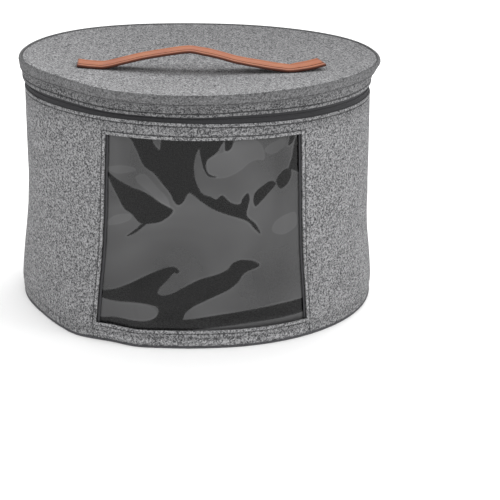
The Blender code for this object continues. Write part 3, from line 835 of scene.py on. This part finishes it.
class HATBOX_OT_wall(bpy.types.Operator):
    """Builds the felt wall with its window opening, foot strip, binding and seams"""

    bl_idname = "hatbox.wall"
    bl_label = "Wall"

    def execute(self, context):
        s = shape()
        self.wall(s)
        self.foot_strip(s)
        self.binding(s)
        self.seams(s)
        return {"FINISHED"}

    def wall(self, s):
        inside = np.linspace(-1.0, 1.0, 57)
        laps = np.array(EDGE_OFFSETS[1:])
        rest = np.linspace(0.0, 1.0, 262)[1:-1]
        low = [s.foot + step for step in (0.0, 0.0015, 0.004, 0.007, 0.010, 0.0135)]
        window = refined(s.window_top, s.wall_height, 0.0045,
                         (s.window_top, s.wall_height - 0.0075), EDGE_OFFSETS)
        middle = np.linspace(s.foot + 0.0175, s.window_top, 52)
        heights = np.concatenate([low, middle[:-1], window])
        window_row = len(low) + len(middle) - 1
        points, tones = [], []
        lap = np.degrees(laps / s.wall_radius)
        for z in heights:
            edge = float(s.window_edge(z))
            first, last = edge + lap[-1], 360.0 - edge - lap[-1]
            azimuth = np.concatenate([edge * inside, edge + lap, first + (last - first) * rest,
                                      360.0 - edge - lap[::-1]])
            side = np.minimum(azimuth % 360.0, -azimuth % 360.0) - edge
            side = np.radians(side) * s.wall_radius
            high = ease(0.93, 1.0, z / s.wall_height)
            height = z + high * s.rise("wall_rise", azimuth)
            opening = np.maximum(side, z - s.window_top)
            hem = s.wall_edge(azimuth) - height
            radius = s.wall(azimuth, z) + s.ripple(azimuth, z)
            radius = radius + welt_height(s, opening) + welt_height(s, hem)
            radius = radius - 0.0006 * bump_at(height, s.foot + HEM_GROOVE, 0.0022)
            tone = WALL_TONE + welt_highlight_and_shade(s, opening) + welt_highlight_and_shade(s, hem)
            # Painted shadow of the lid's overhang: the wall darkens towards its top
            tone = tone - 0.14 * ease(0.90, 0.97, z / s.wall_height)
            # Painted shade in the groove near the foot
            tone = tone - 0.20 * bump_at(height, s.foot + HEM_GROOVE, 0.002)
            points.append(turned(azimuth, radius, height))
            tones.append(tone)
        points = np.array(points)
        rows, columns = points.shape[:2]
        keep = np.ones((rows - 1, columns), dtype=bool)
        keep[:window_row, :len(inside) - 1] = False
        faces = grid_faces(rows, columns, True, keep)
        wall = add_piece("felt_wall", points.reshape(-1, 3), faces, felt(), "felt",
                         ("side_wall",), tone=np.array(tones))
        shell(wall, s.felt, bevel=0.0007)

    def foot_strip(self, s):
        """Felt strip across the window's foot, with a piped lower edge."""
        heights = refined(s.foot, s.strip_top, 0.0022, (s.strip_top - 0.0066,), EDGE_OFFSETS)
        points, tones = [], []
        for z in heights:
            edge = float(s.window_edge(z)) + s.degrees(FIT_GAP)
            azimuth = np.linspace(-edge, edge, 90)
            below = s.strip_top - z
            groove = bump_at(z, s.foot + 0.0098, 0.0012)
            radius = s.wall(azimuth, z) + STRIP_PROUD + RIPPLE_UNDER_STRIP * s.ripple(azimuth, z)
            radius = radius + 0.0012 * bump_at(z, s.foot + 0.0045, 0.0035)
            radius = radius + welt_height(s, below) - 0.0005 * groove
            # Painted highlight on the strip's rounded bulge and painted shade in the groove above it
            tone = WALL_TONE + welt_highlight_and_shade(s, below) + 0.22 * bump_at(z, s.foot + 0.0045, 0.003)
            tone = tone - 0.40 * bump_at(z, s.foot + 0.0098, 0.0009)
            points.append(turned(azimuth, radius, z))
            tones.append(np.full_like(azimuth, tone))
        strip = sheet("window_foot_felt", points, felt(), "felt", "window_foot_strip", tone=tones)
        shell(strip, s.felt, bevel=0.0006)

    def binding(self, s):
        """Thin dark binding under the wall, with a rounded outer side; its dark colour is partly
        painted contact shade under the foot.
        """
        azimuth = ring(360)
        base = s.wall(azimuth, 0.0) + 0.0008
        section = ((-0.0025, 0.0003), (-0.0022, 0.0), (-0.0008, 0.0), (-0.0002, 0.0005),
                   (0.0, 0.0014), (-0.0002, 0.0023), (-0.0008, 0.0029), (-0.0022, 0.0030),
                   (-0.0025, 0.0027))
        points = np.array([turned(azimuth, base + out, z) for out, z in section])
        add_piece("base_piping", points.reshape(-1, 3), self.loop_faces(*points.shape[:2]),
                  weave("piping_weave", 2.2), "dark_cloth", ("base_binding",))

    def loop_faces(self, around, columns):
        r, c = np.meshgrid(np.arange(around), np.arange(columns), indexing="ij")
        up, n = (r + 1) % around, (c + 1) % columns
        quads = np.stack([r * columns + c, r * columns + n, up * columns + n,
                          up * columns + c], axis=-1)
        return quads.reshape(-1, 4).tolist()

    def seams(self, s):
        azimuth = np.linspace(-180.0, 180.0, 721)
        self.seam(s, "wall_hem_stitches", azimuth, s.wall_edge(azimuth) - s.welt)
        height = np.linspace(s.strip_top, s.window_top + s.welt, 120)
        for name, side in SIDES:
            azimuth = side * (s.window_edge(height) + s.degrees(s.welt))
            self.seam(s, f"window_{name}_stitches", azimuth, height)
        edge = float(s.window_edge(s.window_top)) + s.degrees(s.welt)
        azimuth = np.linspace(-edge, edge, 120)
        self.seam(s, "window_top_stitches", azimuth, s.window_top + s.welt)
        edge = float(s.window_edge(s.strip_top))
        azimuth = np.linspace(-edge, edge, 120)
        self.seam(s, "foot_strip_stitches", azimuth, s.strip_top - s.welt, STRIP_PROUD,
                  RIPPLE_UNDER_STRIP)

    def seam(self, s, name, azimuth, height, proud=0.0, share=1.0):
        """Stitches that follow the wall's dents, a little below its surface."""
        radius = s.wall(azimuth, height) + proud + share * s.ripple(azimuth, height) - STITCH_SINK
        stitch_row(name, turned(azimuth, radius, height), outward(azimuth), s.stitch, thread())


def rounded(outline, steps=4):
    """A closed outline as a smooth curve through its points."""
    start = np.array(outline)
    before, after = np.roll(start, 1, axis=0), np.roll(start, -1, axis=0)
    beyond = np.roll(start, -2, axis=0)
    curve = []
    for t in np.arange(steps) / steps:
        curve.append(0.5 * (2.0 * start + (after - before) * t
                            + (2.0 * before - 5.0 * start + 4.0 * after - beyond) * t ** 2
                            + (3.0 * start - before - 3.0 * after + beyond) * t ** 3))
    return np.stack(curve, axis=1).reshape(-1, 2)


def fold_distance(x, y, outlines, tall):
    """Distance from each point to the nearest outline, negative inside it."""
    nearest = np.full_like(x, 9.0)
    for outline in outlines:
        curve = rounded(outline) * (1.0, tall)
        away = np.full_like(x, 9.0)
        inside = np.zeros(x.shape, dtype=bool)
        for (ax, ay), (bx, by) in zip(curve, np.roll(curve, -1, axis=0)):
            run = max((bx - ax) ** 2 + (by - ay) ** 2, 1e-12)
            t = np.clip(((x - ax) * (bx - ax) + (y - ay) * (by - ay)) / run, 0.0, 1.0)
            gap = np.hypot(x - ax - t * (bx - ax), y - ay - t * (by - ay))
            away = np.minimum(away, gap)
            if ay != by:
                crossing = (ay > y) != (by > y)
                inside ^= crossing & (x < ax + (y - ay) * (bx - ax) / (by - ay))
        nearest = np.minimum(nearest, np.where(inside, -away, away))
    return nearest


class HATBOX_OT_window(bpy.types.Operator):
    """Builds the rippled clear film and the dark strips along its sides, which are painted shade at
    the felt's cut edges
    """

    bl_idname = "hatbox.window"
    bl_label = "Window"

    def execute(self, context):
        s = shape()
        self.film(s)
        for name, side in SIDES:
            self.tape(s, name, side)
        return {"FINISHED"}

    def film(self, s):
        """Soft film, pressed in a little along the outlines above, with painted shade and painted
        reflections in its sheen attribute.
        """
        lap, tall = s.degrees(FILM_LAP), FILM_TALL
        heights = np.linspace(s.foot + s.gap, s.window_top + FILM_LAP, 300)
        across = np.linspace(-1.0, 1.0, 290)
        edge = s.window_edge(heights)[:, None] + lap
        azimuth = edge * across[None, :]
        z = np.broadcast_to(heights[:, None], azimuth.shape)
        u = azimuth / (edge - lap)
        x = np.sin(np.radians(azimuth)) / np.sin(np.radians(edge - lap))
        v = (z - s.strip_top) / (s.window_top - s.strip_top)
        y = v * tall
        shade_patch = fold_distance(x, y, PAINTED_SHADE_PATCHES, tall)
        shade_patch = np.maximum(shade_patch, -fold_distance(x, y, PAINTED_SHADE_GAPS, tall))
        highlight_patch = fold_distance(x, y, PAINTED_HIGHLIGHT_PATCHES, tall)
        # Painted highlight over the facets and along their edges, then painted shade from the shade
        # table
        lit = 0.65 + 0.18 * (1.0 - ease(-0.004, 0.004, highlight_patch))
        lit = lit + 0.10 * bump_at(highlight_patch, 0.0, 0.006)
        for row in SHADES:
            away = np.hypot(x - row.across, y - row.up * tall)
            lit = lit - row.depth * np.exp(-(away / row.spread) ** 2)
        # Painted highlights along the edges of the dark patches
        glints = 0.5 + 0.5 * np.sin(9.0 * x + 7.0 * v)
        lit = lit + 0.16 * bump_at(shade_patch, 0.012, 0.007) * glints
        # The dark patches are painted a little lighter just above the foot strip
        low = 0.10 * (1.0 - ease(0.0, 0.07, v))
        sheen = low + (lit - low) * ease(-0.005, 0.005, shade_patch)
        held = np.clip(1.0 - u ** 2, 0.0, 1.0) * np.clip(4.0 * v * (1.0 - v), 0.0, 1.0)
        wave = 0.5 + 0.5 * np.sin(5.2 * u + 4.1 * v + 1.7 * np.sin(6.0 * v))
        depth = held * (0.0009 * wave + 0.0006 * ease(-0.10, 0.06, shade_patch)
                        - 0.0003 * (1.0 - ease(-0.03, 0.01, highlight_patch)))
        radius = s.wall(azimuth, z) - s.felt - FILM_GAP - depth
        sheet("window_film", turned(azimuth, radius, z), material("soft_film", film_finish),
              "clear_film", "window_pane", sheen=sheen)

    # Dark strips beside the window's cut edges, standing in for the shade there: painted shade
    def tape(self, s, name, side):
        heights = np.linspace(s.strip_top + s.gap, s.window_top - s.gap, 110)
        section = ((0.0003, 0.0), (0.0005, 0.0008), (0.0010, 0.0011), (0.0014, 0.0008),
                   (0.0018, 0.0011), (0.0024, 0.0008), (0.0027, 0.0))
        points = []
        for inward, proud in section:
            azimuth = s.window_edge(heights) - np.degrees(inward / s.wall_radius)
            radius = s.wall(side * azimuth, heights) - s.felt + TAPE_GAP + proud
            points.append(turned(side * azimuth, radius, heights))
        points = np.array(points).transpose(1, 0, 2)
        faces = grid_faces(*points.shape[:2])
        if side > 0.0:
            faces = [face[::-1] for face in faces]
        add_piece(f"window_binding_{name}", points.reshape(-1, 3), faces,
                  weave("tape_weave", 1.5), "dark_cloth", (f"window_tape_{name}",))


class HATBOX_OT_zip(bpy.types.Operator):
    """Builds the zip round the box with its teeth and slider, and the cloth hinge"""

    bl_idname = "hatbox.zip"
    bl_label = "Zip"

    def execute(self, context):
        s = shape()
        half = 0.5 * s.degrees(HINGE_WIDTH)
        self.tape(s, 180.0 - half)
        self.teeth(s, 180.0 - half)
        self.hinge(s, half + s.degrees(HINGE_LAP))
        self.slider()
        return {"FINISHED"}

    def tape(self, s, end):
        azimuth = np.linspace(-end, end, 500)
        low = s.wall_edge(azimuth) - ZIP_LAP
        high = s.skirt_edge(azimuth) + ZIP_LAP
        rows = []
        for share in np.linspace(0.0, 1.0, 9):
            dip = 0.0008 * math.sin(math.pi * share)
            radius = s.wall_radius - ZIP_RECESS - dip + share * 0.0006
            rows.append(turned(azimuth, radius, low + share * (high - low)))
        tape = sheet("zip_weave", rows, weave("zip_weave", 1.0), "dark_cloth", "zip_tape")
        shell(tape, ZIP_THICKNESS)

    def teeth(self, s, end):
        """Coil teeth of the closed zip, as short bars across the tape."""
        count = 820
        azimuth = np.linspace(-end + 0.5, end - 0.5, count)
        middle = 0.5 * (s.wall_edge(azimuth) + s.skirt_edge(azimuth))
        half = 0.0011
        turn = math.degrees(0.00042 / s.wall_radius)
        radius = s.wall_radius - TOOTH_RECESS
        corners = []
        for up in (-half, half):
            for along in (-turn, turn):
                for out in (-0.0004, 0.0005):
                    corners.append(turned(azimuth + along, radius + out, middle + up))
        points = np.stack(corners, axis=1).reshape(-1, 3)
        box = [(2, 3, 1, 0), (5, 7, 6, 4), (1, 5, 4, 0), (6, 7, 3, 2), (3, 7, 5, 1), (4, 6, 2, 0)]
        faces = [[8 * i + v for v in face] for i in range(count) for face in box]
        add_piece("zip_teeth", points, faces, weave("coil_plastic", 1.3), "dark_cloth")

    def hinge(self, s, reach):
        azimuth = np.linspace(180.0 - reach, 180.0 + reach, 60)
        low, high = s.wall_edge(azimuth) - HINGE_LAP, s.skirt_edge(azimuth) + HINGE_LAP
        along = (azimuth - azimuth[0]) / (azimuth[-1] - azimuth[0])
        fade = ease(0.0, 0.06, along) * ease(0.0, 0.06, 1.0 - along)
        rows = []
        for share in np.linspace(0.0, 1.0, 14):
            bulge = 0.0016 * bump_at(share, 0.5, 0.13)
            radius = s.wall_radius - s.felt - s.gap + bulge * fade
            rows.append(turned(azimuth, radius, low + share * (high - low)))
        tones = np.full((len(rows), len(azimuth)), INSIDE_TONE)
        hinge = sheet("cloth_hinge", rows, felt(), "felt", "back_hinge", tone=tones)
        shell(hinge, HINGE_THICKNESS)

    def slider(self):
        """The slider's body and its hanging pull, rounded from the frame's own solid."""
        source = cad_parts["zip_slider"]
        mesh = source.data.copy()
        mesh.name = "zip_pull"
        mesh.materials.clear()
        mesh.materials.append(material("dull_metal", metal_finish))
        piece = bpy.data.objects.new("zip_pull", mesh)
        bpy.context.scene.collection.objects.link(piece)
        piece.matrix_world = source.matrix_world
        piece.modifiers.new("joined", "WELD").merge_threshold = 0.00001
        soften(piece, 0.0005, 30.0, 3)
        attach(piece, "root")
        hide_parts("zip_slider")


class HATBOX_OT_lid(bpy.types.Operator):
    """Builds the sagging lid, its flared skirt and the band round its edge"""

    bl_idname = "hatbox.lid"
    bl_label = "Lid"

    def execute(self, context):
        s = shape()
        self.panel(s)
        self.skirt(s)
        self.band(s)
        return {"FINISHED"}

    def panel(self, s):
        azimuth = ring(360)
        rim = s.rim_radius(azimuth)
        rows, tones = [], []
        # Painted light: the lid's top is lighter at the front and darker at the back, fading towards
        # its middle
        painted_light = LID_TONE + 0.17 * np.cos(np.radians(azimuth + 25.0))
        for inset in (0.0020, 0.0030, 0.0040, 0.0044, 0.0048, 0.0053, 0.0062, 0.0078, s.rim_width):
            tuck = 0.0012 * (1.0 - float(ease(0.0038, 0.0050, inset)))
            swell = 0.0003 * float(bump_at(inset, 0.0066, 0.0020))
            rows.append(turned(azimuth, rim - inset, s.rim_height(azimuth) - tuck + swell))
            # Painted shade in the seam where the band tucks in
            tones.append(painted_light - 0.30 * bump_at(inset, 0.0044, 0.0006))
        for share in np.linspace(1.0, 0.03, 40)[1:]:
            radius = (rim - s.rim_width) * share
            dents = 0.0004 * np.sin(4.0 * np.radians(azimuth) + 9.0 * share) * share
            rows.append(turned(azimuth, radius, s.lid(azimuth, radius) + dents * (1.0 - share)))
            tones.append(LID_TONE + share * (painted_light - LID_TONE))
        tones = np.append(np.array(tones).ravel(), LID_TONE)
        panel = disc("lid_felt", rows, s.lid_top - s.lid_sag, felt("lid_top_felt"), "lid_felt",
                     "lid_panel", tones)
        shell(panel, s.felt - PANEL_THINNER)

    def skirt(self, s):
        azimuth = ring(360)
        low = s.skirt_edge(azimuth)
        high = s.rim_height(azimuth) - s.felt - 0.0005
        # Painted shade and painted light: the skirt is darker than the wall and lighter on its right
        # side
        lit = 0.62 + 0.20 * ease(25.0, 80.0, azimuth) * ease(-150.0, -100.0, -azimuth)
        rows, tones = [], []
        for offset in (*EDGE_OFFSETS, 0.009, 0.0115, 0.014, 0.017, 0.020):
            height = low + np.minimum(offset, high - low)
            distance = np.full_like(azimuth, offset)
            radius = s.skirt(azimuth, height) + s.ripple(azimuth, height)
            rows.append(turned(azimuth, radius + welt_height(s, distance), height))
            tones.append(lit + welt_highlight_and_shade(s, distance))
        rows.append(turned(azimuth, s.skirt(azimuth, high), high))
        tones.append(lit)
        # The skirt's felt is a darker copy of the felt, as painted shade
        skirt = sheet("lid_skirt_felt", rows, felt("lid_side_felt", 0.80), "lid_felt",
                      "lid_skirt", closed=True, tone=tones)
        shell(skirt, s.felt, bevel=0.0006)
        azimuth = np.linspace(-180.0, 180.0, 721)
        height = s.skirt_edge(azimuth) + s.welt
        radius = s.skirt(azimuth, height) + s.ripple(azimuth, height) - STITCH_SINK
        stitch_row("skirt_stitches", turned(azimuth, radius, height), outward(azimuth), s.stitch,
                   thread(), "lid_felt")

    def band(self, s):
        """Felt band round the lid's edge, rolled over the rim and stitched at its foot."""
        azimuth = ring(360)
        rim, top = s.rim_radius(azimuth), s.rim_height(azimuth)
        low = top - s.band_height
        high = top - RIM_ROLL
        proud = s.gap + s.band_thickness
        rows, tones = [], []
        for share in (0.0, 0.03, 0.08, 0.14, BAND_GROOVE, 0.27, 0.40, 0.55, 0.70, 0.85, 1.0):
            height = low + share * (high - low)
            groove = bump_at(share, BAND_GROOVE, 0.06)
            out = s.skirt(azimuth, height) + proud + share * 0.0007
            out = out - 0.0004 * groove - 0.0005 * bump_at(share, 0.0, 0.04)
            rows.append(turned(azimuth, out, height))
            # Painted shade in the stitch groove and along the band's foot
            tones.append(0.84 - 0.45 * groove - 0.25 * bump_at(share, 0.0, 0.03))
        raised = 0.0006 + 0.0008 * ease(60.0, 120.0, np.abs(azimuth))
        for inset, share, tone in RIM_SECTION:
            lift = share * (raised if share > 0.0 else 0.001)
            rows.append(turned(azimuth, rim - inset, top + lift))
            tones.append(tone)
        # The band's felt is a darker, flatter copy of the felt, as painted shade
        band = sheet("lid_band_felt", rows, felt("band_felt", 0.64, 0.55), "lid_felt",
                     "lid_edge_band", closed=True, tone=np.repeat(tones, len(azimuth)))
        shell(band, 0.0011, bevel=0.0003)
        azimuth = np.linspace(-180.0, 180.0, 721)
        low = s.rim_height(azimuth) - s.band_height
        height = low + BAND_GROOVE * (s.band_height - RIM_ROLL)
        radius = s.skirt(azimuth, height) + proud - 0.0003
        stitch_row("band_stitches", turned(azimuth, radius, height), outward(azimuth), s.stitch,
                   thread(), "lid_felt")


class HATBOX_OT_handle(bpy.types.Operator):
    """Builds the carrying strap with dyed edges, creases and stitches"""

    bl_idname = "hatbox.handle"
    bl_label = "Carrying strap"

    def execute(self, context):
        s = shape()
        share = refined(-1.0, 1.0, 0.0125)
        x = 0.5 * s.handle_span * share
        y = -s.handle_forward * smooth(HANDLE, "along", "forward", share)
        lift = s.handle_rise * np.maximum(0.0, smooth(HANDLE, "along", "lift", share))
        run = np.stack([np.gradient(x), np.gradient(y), np.zeros_like(x)], axis=1)
        run /= np.linalg.norm(run, axis=1, keepdims=True)
        across = np.stack([-run[:, 1], run[:, 0], np.zeros_like(x)], axis=1)
        half = 0.5 * s.handle_width
        level = np.full_like(x, -1.0)
        for place in (-half, 0.0, half):
            point = np.stack([x, y], axis=1) + place * across[:, :2]
            azimuth = np.degrees(np.arctan2(point[:, 0], -point[:, 1]))
            level = np.maximum(level, s.lid(azimuth, np.hypot(point[:, 0], point[:, 1])))
        base = np.stack([x, y, level + STRAP_GAP + lift], axis=1)
        run = np.gradient(base, axis=0)
        run /= np.linalg.norm(run, axis=1, keepdims=True)
        up = np.cross(run, across)
        up /= np.linalg.norm(up, axis=1, keepdims=True)
        thick = s.handle_thickness
        front = [(inset - half, tall, dye) for inset, tall, dye in STRAP_EDGE]
        back = [(-place, tall, dye) for place, tall, dye in front[::-1]]
        crown = [(-0.5 * half, 1.02, 0.0), (0.0, 1.04, 0.0), (0.5 * half, 1.02, 0.0)]
        under = [(half - 0.0006, 0.03, 1.0), (0.0, 0.0, 0.6), (0.0006 - half, 0.03, 1.0)]
        section = (front + crown + back + under)[::-1]
        rows = [base + place * across + tall * thick * up for place, tall, dye in section]
        points = np.array(rows).transpose(1, 0, 2)
        dye = np.tile([row[2] for row in section], (len(points), 1))
        dye[0] = dye[-1] = 1.0
        strap = add_piece("leather_strap", points.reshape(-1, 3), tube_faces(*points.shape[:2]),
                          material("strap_leather", leather_finish), "tan_leather",
                          ("handle_strap",), edge=dye)
        soften(strap, 0.0004, 55.0)
        for name, side in (("front", 1.0), ("back", -1.0)):
            place = side * (half - CREASE)
            path = base - place * across + 0.90 * thick * up
            stitch_row(f"strap_{name}_stitches", path[2:-2], up[2:-2], s.stitch,
                       material("strap_thread", self.strap_thread), "tan_leather",
                       width=0.0007)
        return {"FINISHED"}

    def strap_thread(self):
        finish = Finish("strap_thread", Roughness=0.6, Specular_IOR_Level=0.3)
        twist = finish.noise(2400.0, 1.0)
        finish.set("Base Color", finish.mix((0.10, 0.030, 0.012), (0.22, 0.065, 0.026), twist))
        finish.bump(twist, 0.4, 0.0002)
        return finish.material


class HATBOX_OT_inside(bpy.types.Operator):
    """Builds the felt floor and the two elastic straps that lie on it"""

    bl_idname = "hatbox.inside"
    bl_label = "Inside"

    def execute(self, context):
        s = shape()
        self.floor(s)
        for name in ("left", "right"):
            self.elastic(name)
        return {"FINISHED"}

    def floor(self, s):
        azimuth = ring(240)
        edge = 0.0016
        rim = s.wall(azimuth, 0.0) - 0.0020
        rows = []
        for inset in (0.0, 0.0006, edge):
            drop = 0.0006 * (1.0 - inset / edge) ** 2
            rows.append(turned(azimuth, rim - inset, s.felt - drop))
        for share in np.linspace(1.0, 0.04, 26)[1:]:
            rows.append(turned(azimuth, (rim - edge) * share, s.felt))
        tones = np.full(len(rows) * len(azimuth) + 1, INSIDE_TONE)
        floor = disc("felt_floor", rows, s.felt, felt(), "felt", "floor_panel", tones)
        shell(floor, s.felt - 0.0007)

    def elastic(self, name):
        low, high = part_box(f"elastic_strap_{name}")
        middle = 0.5 * (low[0] + high[0])
        half = 0.5 * (high[0] - low[0])
        thick = high[2] - low[2]
        y = np.linspace(low[1], high[1], 150)
        wave = 0.06 * np.sin(2.0 * math.pi * y / 0.0042)
        section = ((-1.0, 0.15), (-1.0, 0.8), (-0.93, 1.0), (-0.6, 0.9), (-0.3, 1.0),
                   (0.0, 0.9), (0.3, 1.0), (0.6, 0.9), (0.93, 1.0), (1.0, 0.8),
                   (1.0, 0.15), (0.9, 0.0), (-0.9, 0.0))
        points = []
        for across, tall in section:
            height = low[2] + thick * np.clip(tall + wave * (tall > 0.5), 0.0, 1.0)
            points.append(np.stack([np.full_like(y, middle + half * across), y, height], axis=1))
        points = np.array(points).transpose(1, 0, 2)
        add_piece(f"elastic_{name}", points.reshape(-1, 3), tube_faces(*points.shape[:2]),
                  material("ribbed_elastic", elastic_finish), "black_elastic",
                  (f"elastic_strap_{name}",))


class HATBOX_OT_stage(bpy.types.Operator):
    """Adds the pale floor, the soft studio lights and the camera"""

    bl_idname = "hatbox.stage"
    bl_label = "Stage"

    CAMERA_DISTANCE = 1.6105
    CAMERA_HEIGHT = 0.6125
    CAMERA_AZIMUTH = -2.1
    CAMERA_YAW = 4.438
    CAMERA_PITCH = 19.484
    CAMERA_ROLL = 0.970
    FOCAL_PIXELS = 1359.3
    FRAME_PIXELS = 500.0
    WORLD_STRENGTH = 1.3
    FLOOR_COLOUR = (0.96, 0.96, 0.96, 1.0)

    def execute(self, context):
        self.floor()
        self.lights(context)
        self.camera(context)
        return {"FINISHED"}

    def floor(self):
        mesh = bpy.data.meshes.new("studio_floor")
        mesh.from_pydata([(-9, -9, 0), (9, -9, 0), (9, 9, 0), (-9, 9, 0)], [], [(0, 1, 2, 3)])
        finish = Finish("pale_floor", Roughness=0.9, Specular_IOR_Level=0.1)
        finish.set("Base Color", self.FLOOR_COLOUR)
        mesh.materials.append(finish.material)
        floor = bpy.data.objects.new("studio_floor", mesh)
        bpy.context.scene.collection.objects.link(floor)

    def lights(self, context):
        world = bpy.data.worlds.new("studio")
        world.use_nodes = True
        background = world.node_tree.nodes["Background"]
        background.inputs["Color"].default_value = (1.0, 1.0, 1.0, 1.0)
        background.inputs["Strength"].default_value = self.WORLD_STRENGTH
        context.scene.world = world
        context.scene.view_settings.view_transform = "Standard"
        self.area("key_light", (0.35, 0.75, 2.1), (0.0, 0.0, 0.25), 0.9, 16.0)
        self.area("side_light", (2.0, -0.9, 1.3), (0.0, 0.0, 0.15), 1.2, 11.0)

    def area(self, name, place, target, size, power):
        data = bpy.data.lights.new(name, "AREA")
        data.shape = "DISK"
        data.size = size
        data.energy = power
        light = bpy.data.objects.new(name, data)
        light.location = place
        aim = Vector(target) - Vector(place)
        light.rotation_euler = aim.to_track_quat("-Z", "Y").to_euler()
        bpy.context.scene.collection.objects.link(light)

    def camera(self, context):
        azimuth = math.radians(self.CAMERA_AZIMUTH)
        yaw, pitch = math.radians(self.CAMERA_YAW), math.radians(self.CAMERA_PITCH)
        roll = math.radians(self.CAMERA_ROLL)
        place = Vector((self.CAMERA_DISTANCE * math.sin(azimuth),
                        -self.CAMERA_DISTANCE * math.cos(azimuth), self.CAMERA_HEIGHT))
        ahead = Vector((math.sin(yaw) * math.cos(pitch), math.cos(yaw) * math.cos(pitch),
                        -math.sin(pitch)))
        level = Vector((math.cos(yaw), -math.sin(yaw), 0.0))
        up = level.cross(ahead)
        right = math.cos(roll) * level + math.sin(roll) * up
        top = right.cross(ahead)
        turn = Matrix((right, top, -ahead)).transposed().to_4x4()
        data = bpy.data.cameras.new("camera")
        data.sensor_width = 36.0
        data.lens = data.sensor_width * self.FOCAL_PIXELS / self.FRAME_PIXELS
        camera = bpy.data.objects.new("camera", data)
        camera.matrix_world = Matrix.Translation(place) @ turn
        bpy.context.scene.collection.objects.link(camera)
        context.scene.camera = camera


class HATBOX_PT_panel(bpy.types.Panel):
    """Lists the box's sizes, colours and steps"""

    bl_idname = "HATBOX_PT_panel"
    bl_label = "Hat box"
    bl_space_type = "VIEW_3D"
    bl_region_type = "UI"
    bl_category = "Hat box"

    def draw(self, context):
        for step in STEPS:
            self.layout.operator(step.bl_idname)
        for group in (context.scene.hat_box_sizes, context.scene.hat_box_colours):
            box = self.layout.box()
            for name in group.bl_rna.properties.keys():
                if name not in ("rna_type", "name"):
                    box.prop(group, name)


STEPS = (
    HATBOX_OT_stage,
    HATBOX_OT_wall,
    HATBOX_OT_window,
    HATBOX_OT_zip,
    HATBOX_OT_lid,
    HATBOX_OT_handle,
    HATBOX_OT_inside,
)
CLASSES = (HatBoxSizes, HatBoxColours, *STEPS, HATBOX_PT_panel)


def register():
    for item in CLASSES:
        bpy.utils.register_class(item)
    bpy.types.Scene.hat_box_sizes = PointerProperty(type=HatBoxSizes)
    bpy.types.Scene.hat_box_colours = PointerProperty(type=HatBoxColours)


def unregister():
    del bpy.types.Scene.hat_box_colours
    del bpy.types.Scene.hat_box_sizes
    for item in reversed(CLASSES):
        bpy.utils.unregister_class(item)


def main():
    register()
    bpy.ops.hatbox.stage()
    bpy.ops.hatbox.wall()
    bpy.ops.hatbox.window()
    bpy.ops.hatbox.zip()
    bpy.ops.hatbox.lid()
    bpy.ops.hatbox.handle()
    bpy.ops.hatbox.inside()


if __name__ == "__main__":
    main()
